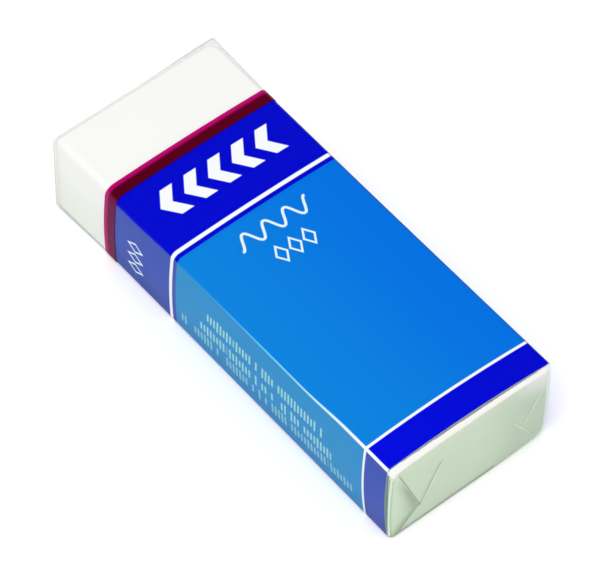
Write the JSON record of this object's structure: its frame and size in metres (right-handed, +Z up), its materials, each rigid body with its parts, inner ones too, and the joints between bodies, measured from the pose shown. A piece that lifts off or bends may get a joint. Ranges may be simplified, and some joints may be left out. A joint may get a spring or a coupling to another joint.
{
  "type": "plastic eraser",
  "caption": "Block eraser in a printed card sleeve, sealed in clear film with folded ends and a tear tape, one end standing out of the sleeve.",
  "frame": {"origin": "under the middle of the wrapped pack, on the surface that it lies on", "axes": "+X along the length towards the bare end, +Z up through the broad top panel"},
  "size_m": [0.0612, 0.0242, 0.0135],
  "materials": {
    "vinyl": "matte",
    "printed_card": "satin",
    "glue": "matte",
    "clear_film": "gloss",
    "tear_tape": "gloss"
  },
  "bodies": {
    "sleeve": {"card_sleeve": "printed_card", "sleeve_glue": "glue", "tear_tape": "tear_tape"},
    "eraser": {"eraser_block": "vinyl"},
    "wrap_body": {"film_body": "clear_film"},
    "wrap_cap": {"film_cap": "clear_film"}
  },
  "joints": [
    {"name": "eraser_slide", "type": "slide", "parent": "sleeve", "child": "eraser", "axis": [1, 0, 0], "range_m": [0, 0.051]},
    {"name": "cap_pull", "type": "slide", "parent": "eraser", "child": "wrap_cap", "axis": [1, 0, 0], "range_m": [0, 0.012]},
    {"name": "body_pull", "type": "slide", "parent": "sleeve", "child": "wrap_body", "axis": [-1, 0, 0], "range_m": [0, 0.052]}
  ]
}
